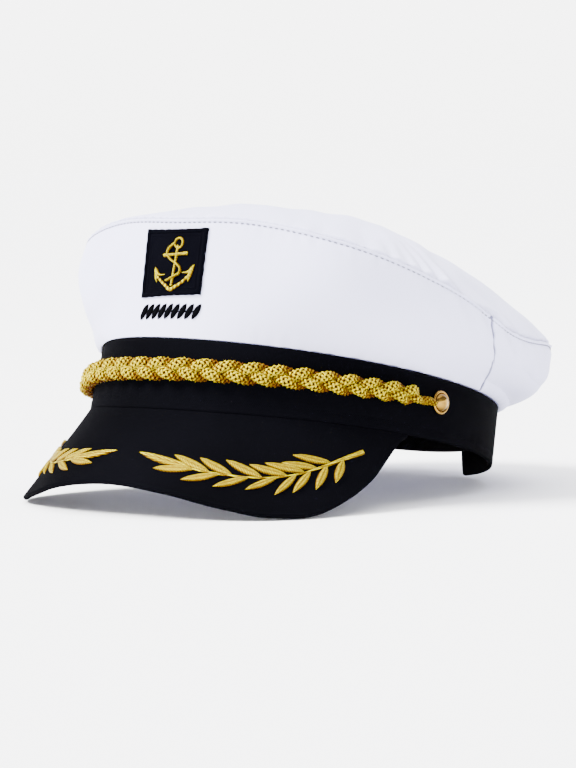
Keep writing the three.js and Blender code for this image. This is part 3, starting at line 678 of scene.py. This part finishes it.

# Braid: a flat plait of three knitted cords between the buttons. Each cord swings up and down across the
# plait and passes over and under the others at twice that rate, and is itself a sleeve of yarns wound
# both ways round a core whose near-black colour is painted shade between the yarns.
button = dict(turn=85.5, height=0.61, radius=5.4, rise=3.6, rim=1.3)
braid = dict(depth=6.4, pitch=10.4, swing=2.6, passing=1.8, wide=1.7, deep=1.35, yarns=4, winding=7.2,
             yarn=0.4, lift=0.32, uneven=0.16, neck=14.0, neckShare=0.6, neckSwing=0.24, neckDrop=1.1,
             neckIn=1.2, coreSides=12, coreWide=0.9, coreDeep=0.86)
braidRows = np.array([  # share of the button's turn, height on the band
    (-1, 0.61), (-0.8, 0.4), (-0.58, 0.36), (-0.3, 0.49), (0, 0.53), (0.35, 0.56), (0.65, 0.575), (1, 0.61),
])
braidEnd = button["turn"] - math.degrees((button["radius"] + band["gap"]) / band["long"])
braidTurns = np.linspace(-braidEnd, braidEnd, 2000)
braidWalked = walkedAlong(bandPoint(braidTurns, 0.0)[:, :2])


def onBand(points, nearest):
    # Places along the plait, up from its middle line and out from the band, as points in metres. Nothing
    # comes nearer to the band than the given distance.
    turn = np.interp(points[..., 0], braidWalked, braidTurns)
    middle = readRows(braidRows, 1, turn / button["turn"])
    share = middle + points[..., 1] / band["height"]
    return toRow(bandPoint(turn, share, np.maximum(points[..., 2], nearest)))


def makeCord(name, strand, steps):
    # Middle line: a sine across the plait and one of twice the rate out of it, a third of a period on from
    # cord to cord, both smaller in the necks at the ends. Yarns: a circle carried along it, wound both
    # ways, that swells where a yarn passes over another.
    total = braidWalked[-1]
    period = 3 * total / round(total / braid["pitch"])
    x = np.linspace(0, total, steps)
    body = ease(braid["neck"] * 0.6, braid["neck"] + 2, np.minimum(x, total - x))
    scale = braid["neckShare"] + (1 - braid["neckShare"]) * body
    phase = 2 * np.pi * (x / period + strand / 3)
    width = braid["neckSwing"] + (1 - braid["neckSwing"]) * body
    up = braid["swing"] * np.sin(phase) * width - braid["neckDrop"] * (1 - body)
    over = braid["passing"] * np.sin(2 * phase) * scale
    out = band["gap"] + braid["depth"] / 2 + over - braid["neckIn"] * (1 - body)
    centre = np.stack([x, up, out], -1)
    heading = unit(np.gradient(centre, axis=0))
    side = unit(np.stack([-heading[:, 1], heading[:, 0], 0 * x], -1))
    outward = np.cross(heading, side)
    path = walkedAlong(centre)

    count = braid["yarns"]
    way = np.repeat([1.0, -1.0], count)[:, None]
    begin = np.tile(np.arange(count), 2)[:, None] * 2 * np.pi / count
    wound = 2 * np.pi * path / braid["winding"]
    spin = way * wound + begin + braid["uneven"] * ripple(70 + strand, (path, 5.0))
    grow = 1 + way * braid["lift"] / braid["deep"] * np.cos(count * wound)
    wide = braid["wide"] * scale * (grow - 0.04 + 0.04 * np.cos(spin))
    deep = braid["deep"] * scale * grow
    yarn = centre + (np.cos(spin) * wide)[..., None] * side + (np.sin(spin) * deep)[..., None] * outward
    run = unit(np.gradient(yarn, axis=1))
    across = unit(np.cross(run, (yarn - centre)))
    rise = np.cross(across, run)
    around = roundSteps(6)
    flat = np.cos(around)[:, None] * across[:, :, None] * 1.25
    ring = flat + np.sin(around)[:, None] * rise[:, :, None] * 0.9
    rings = yarn[:, :, None] + ring * (braid["yarn"] * (0.55 + 0.45 * scale))[None, :, None, None]
    # Painted light and shade: yarns are lighter where yarns and cords pass over others and on a yarn's outer
    # side, darker where they pass under and towards the core.
    depthShading = 0.32 + 0.34 * way * np.cos(count * wound) + 0.32 * np.sin(2 * phase) * body
    tone = np.clip(depthShading, 0, 1)[..., None] + 0.35 * np.sin(around)
    length = np.broadcast_to(path[None, :, None], (2 * count, steps, 7))
    weave = np.stack([length, np.broadcast_to(0.3 * np.arange(7), length.shape)], -1)
    addTubes(name, onBand(rings, 0.15), goldCord, ["braid"], weave=weave, tone=tone)

    core = braid["coreSides"]
    spin = roundSteps(core)[:, None]
    inside = centre[:, None] + (np.cos(spin) * side[:, None] * braid["wide"] * braid["coreWide"]
                                + np.sin(spin) * outward[:, None] * braid["deep"] * braid["coreDeep"]
                                ) * scale[:, None, None]
    weave = np.stack(np.broadcast_arrays(path[:, None], np.arange(core + 1.0)), -1)
    # The core's tone of 0 gives it the darkest stop: painted shade seen in the gaps between the yarns.
    addTubes(name + "_core", onBand(inside, 0.2)[None], goldCord, ["braid"],
             weave=weave[None], tone=np.zeros((1, steps, core)))


for strand, place in enumerate(("upper", "middle", "lower")):
    makeCord(f"braid_cord_{place}", strand, 640)
print("braid done")


# Buttons: a polished dome inside a rolled rim.
def makeButton(name, side, sides):
    # Profile of a flat back, a round rim, a narrow valley and the dome, turned about the band's normal.
    rim, radius = button["rim"], button["radius"]
    roll = np.radians(np.linspace(-90, 150, 12))
    lip = np.stack([radius - rim / 2 + rim / 2 * np.cos(roll), rim / 2 + rim / 2 * np.sin(roll)], -1)
    dome, valley = np.radians(np.linspace(0, 88, 18)), rim * 0.45
    top = np.stack([(radius - rim) * np.cos(dome), valley + (button["rise"] - valley) * np.sin(dome)], -1)
    profile = np.concatenate([[(0.15, 0.0), (radius * 0.6, 0.0)], lip, top])
    spin = roundSteps(sides)
    axis = bandNormal(np.array(side * button["turn"]))
    right = unit(np.cross(axis, (0, 0, 1)))
    up = np.cross(right, axis)
    seat = bandPoint(side * button["turn"], button["height"], band["gap"])
    ring = np.cos(spin)[:, None] * right + np.sin(spin)[:, None] * up
    rings = seat + ring[None] * profile[:, 0, None, None] + axis * profile[:, 1, None, None]
    addTubes(name + "_dome", toRow(rings)[None], goldPlate, [name])


makeButton("button_left", 1, 64)
makeButton("button_right", -1, 64)


# Badge: a dark woven square with a satin border, a raised gold anchor on it and a bar of stitches below.
def frontPoint(across, up, out):
    # Point on the crown's front at a place measured across and up, found by stepping on the crown's formula.
    x = band["wide"] * math.sin(math.radians(badge["turn"])) + across
    z = band["height"] + up
    turn, travel = np.degrees(x / band["wide"]), up / crown["rise"]
    for _ in range(24):
        at = crownPoint(turn, travel)
        turn = turn + np.degrees((x - at[..., 0]) / band["wide"])
        travel = travel + (z - at[..., 2]) / crown["rise"]
    nudge = 0.01
    around = crownPoint(turn + nudge, travel) - crownPoint(turn - nudge, travel)
    tall = crownPoint(turn, travel + nudge / 2) - crownPoint(turn, travel - nudge / 2)
    return crownPoint(turn, travel) + unit(np.cross(around, tall)) * np.asarray(out)[..., None]


def makeBadge(columns, rows):
    # Flat square whose border is a half-round satin ridge of slanted threads, with a thin line inside it.
    # Its upper edge is dented, its sides are frayed, and two corners are pulled askew.
    w, h = badge["width"], badge["height"]
    x = packed(-w / 2, w / 2, columns, 0.6)[:, None]
    y = packed(-h / 2, h / 2, rows, 0.6)[None, :]
    x, y = np.broadcast_arrays(x, y)
    toEdge = np.minimum(w / 2 - np.abs(x), h / 2 - np.abs(y))
    across = np.where(w / 2 - np.abs(x) < h / 2 - np.abs(y), y, x)
    ridge = np.sqrt(np.clip(1 - (toEdge / badge["border"] * 2 - 1) ** 2, 0, 1))
    threads = 0.07 * np.cos(2 * np.pi * (across + 0.3 * toEdge) / 0.75)
    line = bump(toEdge - badge["line"], 0.28)
    height = np.where(toEdge < badge["border"], badge["edge"] + ridge * (badge["ridge"] + threads),
                      badge["field"] + badge["lineHeight"] * line)
    height = height + 0.05 * ripple(61, (x, 9), (y, 9))
    place = y + badge["dent"] * (x / w * 2) ** 2 * (y > 0) * (y / h * 2)
    place = place + badge["fray"] * ripple(62, (x, 4)) * (np.abs(y) / h * 2) ** 6
    shift = x + badge["fray"] * ripple(63, (y, 4)) * (np.abs(x) / w * 2) ** 6
    place = place + 0.45 * x / w * 2 + 1.2 * (0.5 + x / w) * (0.5 - y / h)
    shift = shift - 1.5 * (0.5 - x / w) * (0.5 + y / h)
    middle = badge["lift"] + h / 2 + 0.3
    outer = frontPoint(shift, middle + place, band["gap"] + height)
    inner = frontPoint(shift, middle + place, 0.05)
    mapped = np.stack([x, y], -1)
    addWall("badge_cloth", outer, inner, mapped, navyCloth, ["badge_patch"])


makeBadge(180, 170)


def satinShapes(name, left, right, place, height, pitch, slant, finish, replaces, vein=0, steps=9):
    # Padded satin stitch between two edges: arrays of (shape, step, xy) in a flat drawing. The top swells
    # in a half round, its threads run across with a slant away from a drawn-in vein, and the back is flat.
    v = np.linspace(-1, 1, steps)
    run = walkedAlong((left + right) / 2)
    half = np.linalg.norm(left - right, axis=-1) / 2
    flat = left[:, :, None] * (1 - v)[:, None] / 2 + right[:, :, None] * (1 + v)[:, None] / 2
    swell = np.sqrt(np.clip(1.02 - v ** 2, 0, 1)) * np.minimum(1, half / half.max() * 1.6)[..., None]
    threads = np.cos(2 * np.pi * (run[..., None] - slant * np.abs(v) * half[..., None]) / pitch)
    z = height * swell * (1 - vein * bump(v, 0.16)) + 0.05 * height * threads * swell
    top = np.concatenate([flat, z[..., None]], -1)
    back = np.concatenate([flat, 0 * z[..., None]], -1)[:, :, ::-1]
    rings = np.concatenate([top, back], 2)
    # Painted light and shade: lighter on the thread ridges and darker between them, in the vein's groove and
    # towards both edges, where the padded satin curves down.
    tone = 0.66 + 0.28 * threads - 0.6 * vein * bump(v, 0.2) - 0.4 * v ** 4
    tone = np.concatenate([tone, tone[:, :, ::-1]], 2)
    mapped = np.stack(np.broadcast_arrays(run[..., None], (v * half[..., None])), -1)
    mapped = np.concatenate([mapped, mapped[:, :, ::-1], mapped[:, :, :1]], 2)
    placed = toRow(place(rings[..., 0], rings[..., 1], rings[..., 2]))
    addTubes(name, placed, finish, replaces, weave=mapped, tone=tone)


def curveThrough(points, steps):
    # Even steps along a Catmull-Rom curve through the points, and its length.
    p = np.asarray(points, float)
    ends = np.concatenate([p[:1], p, p[-1:]])
    t = np.linspace(0, len(p) - 1, 60 * len(p))
    i = np.minimum(t.astype(int), len(p) - 2)
    w = (t - i)[:, None]
    a, b, c, d = (ends[i + k] for k in range(4))
    line = b + 0.5 * w * (c - a + w * (2 * a - 5 * b + 4 * c - d + w * (3 * (b - c) + d - a)))
    walked = walkedAlong(line)
    return pointsAt(np.linspace(0, walked[-1], steps), walked, line), walked[-1]


def stripEdges(points, width, steps=60):
    # Both edges of a strip along a smooth line. Its width is a number, or a function of the place from 0
    # to 1 along it.
    line, _ = curveThrough(points, steps)
    heading = unit(np.gradient(line, axis=0))
    across = np.stack([-heading[:, 1], heading[:, 0]], -1)
    if callable(width):
        width = width(np.linspace(0, 1, steps))[:, None]
    return line + across * (width / 2), line - across * (width / 2)


def lensEdges(foot, heading, length, width, fullLeft, fullRight, steps):
    # Both edges of pointed ovals: cubic curves from the foot to the tip that bulge by the given shares.
    t = np.linspace(0.012, 0.988, steps)[None, :]
    x = 3 * (1 - t) ** 2 * t * 0.3 + 3 * (1 - t) * t * t * 0.75 + t ** 3
    sides = []
    for near, far in (fullLeft, fullRight):
        y = 3 * (1 - t) ** 2 * t * near + 3 * (1 - t) * t * t * far
        c, s = np.cos(heading)[:, None], np.sin(heading)[:, None]
        along, out = x * length[:, None], y * width
        sides.append(foot[:, None] + np.stack([along * c - out * s, along * s + out * c], -1))
    return sides


anchor = dict(height=24.0, stroke=0.052, thick=0.9, ropeThick=1.3, shift=1.2, tilt=0.03)


def makeAnchor():
    # Shank, stock, arms with barbed flukes, a ring at the top and a rope wound round the shank. Places are
    # shares of the anchor's height from its middle.
    size = anchor["height"]
    stroke = size * anchor["stroke"]
    base = band["gap"] + badge["thick"] - 0.3
    middle = badge["lift"] + badge["height"] / 2

    def place(x, y, z):
        # A drawn place on the patch, tilted to follow its slant.
        return frontPoint(x + anchor["shift"], middle + y + anchor["tilt"] * x, base + z)

    stock = lambda u: stroke * (1 + 0.5 * np.abs(2 * u - 1))
    arm = lambda u: stroke * (1.5 - 0.8 * np.abs(2 * u - 1))
    fluke = lambda u: stroke * (0.1 + 1.7 * np.sin(np.pi * u) ** 0.8)
    barb = lambda u: stroke * (1.5 - 1.3 * u)
    turnRound = np.radians(np.linspace(0, 360, 13))
    ring = np.stack([0.04 + 0.092 * np.cos(turnRound), 0.385 + 0.092 * np.sin(turnRound)], -1)
    parts = [
        (ring, stroke * 0.85),
        ([(0.03, 0.34), (0.02, 0.1), (-0.01, -0.42)], stroke),
        ([(-0.27, 0.155), (0.27, 0.19)], stock),
        ([(-0.41, -0.2), (-0.27, -0.32), (-0.13, -0.42), (-0.03, -0.485), (0.09, -0.43), (0.25, -0.33),
          (0.38, -0.18)], arm),
        ([(-0.455, -0.06), (-0.4, -0.17), (-0.38, -0.34)], fluke),
        ([(-0.43, -0.12), (-0.33, -0.2), (-0.2, -0.2)], barb),
        ([(0.45, -0.02), (0.39, -0.15), (0.35, -0.34)], fluke),
        ([(0.43, -0.1), (0.32, -0.16), (0.19, -0.17)], barb),
    ]
    edges = [stripEdges(np.array(line) * size, width) for line, width in parts]
    left, right = (np.stack([edge[i] for edge in edges]) for i in range(2))
    satinShapes("anchor_satin", left, right, place, anchor["thick"], pitch=0.5, slant=0.3,
                finish=goldSatin, replaces=["anchor"])
    rope = [(-0.05, 0.38), (-0.17, 0.28), (-0.18, 0.18), (-0.1, 0.08), (0.04, 0), (0.15, -0.09),
            (0.14, -0.18), (0.03, -0.24), (-0.14, -0.32)]
    left, right = stripEdges(np.array(rope) * size, stroke * 0.85, 120)
    satinShapes("anchor_rope", left[None], right[None], place, anchor["ropeThick"], pitch=0.8,
                slant=1.2, finish=goldSatin, replaces=["anchor"])


makeAnchor()

bar = dict(width=33.0, height=7.2, drop=2.4, thick=1.0, stitches=9, stitchWidth=4.0, lean=0.28,
           lineWidth=0.75, lineThick=0.56, shift=0.6, tilt=0.03)


def makeRopeBar():
    # Slanted satin stitches in a row on one thin line.
    pitch = bar["width"] / bar["stitches"]
    reach = (bar["stitches"] - 1) / 2 * pitch
    middle = badge["lift"] - bar["drop"] - bar["height"] / 2

    def place(x, y, z):
        # A drawn place on the crown's front, tilted as the patch above it is.
        return frontPoint(x + bar["shift"], middle + y + bar["tilt"] * x, 0.1 + z)

    at = (np.arange(bar["stitches"]) - (bar["stitches"] - 1) / 2) * pitch
    lean = bar["height"] * bar["lean"]
    foot = np.stack([at - lean, 0 * at - bar["height"] / 2], -1)
    heading = np.full(len(at), math.atan2(bar["height"], 2 * lean))
    length = np.full(len(at), math.hypot(bar["height"], 2 * lean))
    left, right = lensEdges(foot, heading, length, bar["stitchWidth"], (0.45, 0.55), (-0.55, -0.45), 40)
    satinShapes("rope_bar_satin", left, right, place, bar["thick"], pitch=0.5, slant=0.2,
                finish=blackThread, replaces=["rope_bar"])
    left, right = stripEdges([(-reach, 0), (0, 0), (reach, 0)], bar["lineWidth"], 90)
    satinShapes("rope_bar_line", left[None], right[None], place, bar["lineThick"], pitch=0.5,
                slant=0.2, finish=blackThread, replaces=["rope_bar"])


makeRopeBar()
print("badge done")

# Laurel sprigs: a tapering stem and pointed leaves in padded satin stitch on the peak.
sprig = dict(turn=2.0, spread=0.92, thick=1.1, vein=0.32, leaf=4.0, stem=3.4, stemThick=0.85)
stemRows = np.array([  # shares of the peak's half turn and of its drop
    (0.82, 0.322), (0.74, 0.473), (0.65, 0.629), (0.58, 0.697), (0.5, 0.723), (0.41, 0.718),
    (0.32, 0.692), (0.25, 0.666),
])
leafRows = np.array([  # place along the stem, length, lean towards the band
    (0.18, 0.235, 44), (0.26, 0.21, 40), (0.33, 0.24, 40), (0.42, 0.24, 32), (0.55, 0.26, 29),
    (0.71, 0.25, 23), (0.84, 0.27, 16), (0.12, 0.185, -58), (0.21, 0.185, -53), (0.3, 0.175, -43),
    (0.375, 0.17, -43), (0.47, 0.175, -23), (0.62, 0.19, -24), (0.78, 0.21, -22), (0.93, 0.25, -10),
    (0.93, 0.41, 6),
])


def makeSprig(name, side):
    # A smooth stem through its rows, and a pointed oval for each leaf that starts on it and leans off its
    # heading. The drawing lies on the peak, with its lengths kept down the peak's lines.
    perTurn = math.radians(band["long"]) * sprig["spread"]
    stem = stemRows * (peak["turn"] * perTurn, -peak["drop"])

    def place(x, y, z):
        # A drawn place on the peak: x is an even share of the turn, and y runs down the peak's lines.
        turn = x / perTurn
        at, share = side * turn + sprig["turn"], -y / peakDepth(turn)
        return peakPoint(at, share) + peakNormal(at, share) * (0.1 + z)[..., None]

    line, total = curveThrough(stem, 400)
    heading = np.unwrap(np.arctan2(*np.gradient(line, axis=0).T[::-1]))
    walked = np.linspace(0, 1, 400)
    at, length, lean = leafRows.T
    foot = pointsAt(at, walked, line)
    toward = np.interp(at, walked, heading) - np.radians(lean)
    left, right = lensEdges(foot, toward, length * total, sprig["leaf"], (0.75, 0.65), (-0.75, -0.45), 48)
    satinShapes(f"{name}_leaves", left, right, place, sprig["thick"], pitch=0.62, slant=0.75,
                finish=goldSatin, replaces=[name], vein=sprig["vein"], steps=13)
    width = lambda u: sprig["stem"] * (1 - 0.7 * np.minimum(1, u * 3))
    left, right = stripEdges(stem, width, 150)
    satinShapes(f"{name}_stem", left[None], right[None], place, sprig["thick"] * sprig["stemThick"],
                pitch=0.55, slant=0.6, finish=goldSatin, replaces=[name])


makeSprig("sprig_left", 1)
makeSprig("sprig_right", -1)
print("embroidery done")

# Floor, light and camera.
studio = dict(floorReach=40.0, floorColour=(0.93, 0.93, 0.935, 1), skyStrength=6.4, aim=(0, 0, 0.07))
skyStops = [  # height of a direction, grey
    (0.0, (0.93, 0.93, 0.93)), (0.06, (0.98, 0.98, 0.98)), (0.19, (1.0, 1.0, 1.0)),
    (0.28, (0.12, 0.12, 0.13)), (0.8, (0.12, 0.12, 0.13)), (0.9, (1.0, 1.0, 1.0)),
]
view = dict(place=(0.94268, -1.16619, 0.15268), right=(0.77715, 0.62919, -0.01326),
            up=(-0.03294, 0.06171, 0.99756), back=(0.62846, -0.77481, 0.06867), focal=152.4, sensor=36)


def addFloor():
    # One large pale square at the height of 0.
    reach = studio["floorReach"]
    corners = [(-reach, -reach, 0), (reach, -reach, 0), (reach, reach, 0), (-reach, reach, 0)]
    mesh = bpy.data.meshes.new("floor")
    mesh.from_pydata(corners, [], [(0, 1, 2, 3)])
    material, _, shader = newFinish("floorPaint", Roughness=0.9, Specular_IOR_Level=0.1)
    shader.inputs["Base Color"].default_value = studio["floorColour"]
    mesh.materials.append(material)
    floor = bpy.data.objects.new("floor", mesh)
    bpy.context.scene.collection.objects.link(floor)


def placeLight(lamp, towards, place=(0, 0, 0)):
    # A light at a place, turned so that it shines away from the given direction.
    light = bpy.data.objects.new(lamp.name, lamp)
    light.location = place
    light.rotation_mode = "QUATERNION"
    light.rotation_quaternion = Vector(towards).to_track_quat("Z", "Y")
    bpy.context.scene.collection.objects.link(light)


def addDisk(name, place, size, power):
    # A round soft light that shines at the cap.
    lamp = bpy.data.lights.new(name, "AREA")
    lamp.shape, lamp.size, lamp.energy = "DISK", size, power
    placeLight(lamp, Vector(place) - Vector(studio["aim"]), place)


def addSun(name, towards, spread, strength):
    # A far light from one direction, softened by its spread in radians.
    lamp = bpy.data.lights.new(name, "SUN")
    lamp.angle, lamp.energy = spread, strength
    placeLight(lamp, towards)


def addSky():
    # Light from all round, which changes with height alone: dark between two bright belts.
    world = bpy.data.worlds.new("studio")
    world.use_nodes = True
    tree = world.node_tree
    towards = addNode(tree, "ShaderNodeTexCoord").outputs["Generated"]
    height = addNode(tree, "ShaderNodeSeparateXYZ", {0: towards}).outputs["Z"]
    background = tree.nodes["Background"]
    tree.links.new(rampOf(tree, height, skyStops), background.inputs["Color"])
    background.inputs["Strength"].default_value = studio["skyStrength"]
    bpy.context.scene.world = world


def addCamera():
    # The photograph's place and direction, with its three axes as columns.
    lens = bpy.data.cameras.new("camera")
    lens.sensor_fit, lens.sensor_height, lens.lens = "VERTICAL", view["sensor"], view["focal"]
    lens.clip_start, lens.clip_end = 0.05, 50
    camera = bpy.data.objects.new("camera", lens)
    turned = Matrix((view["right"], view["up"], view["back"])).transposed().to_4x4()
    turned.translation = view["place"]
    camera.matrix_world = turned
    bpy.context.scene.collection.objects.link(camera)
    bpy.context.scene.camera = camera


addFloor()
addSun("keyLight", (-0.55, -0.7, 0.95), 0.5, 16.8)
addDisk("fillLight", (1.8, -0.6, 0.8), 1.2, 4)
addDisk("topLight", (0.1, 0.4, 1.9), 1.4, 19)
addSky()
addCamera()
print("light and camera done")
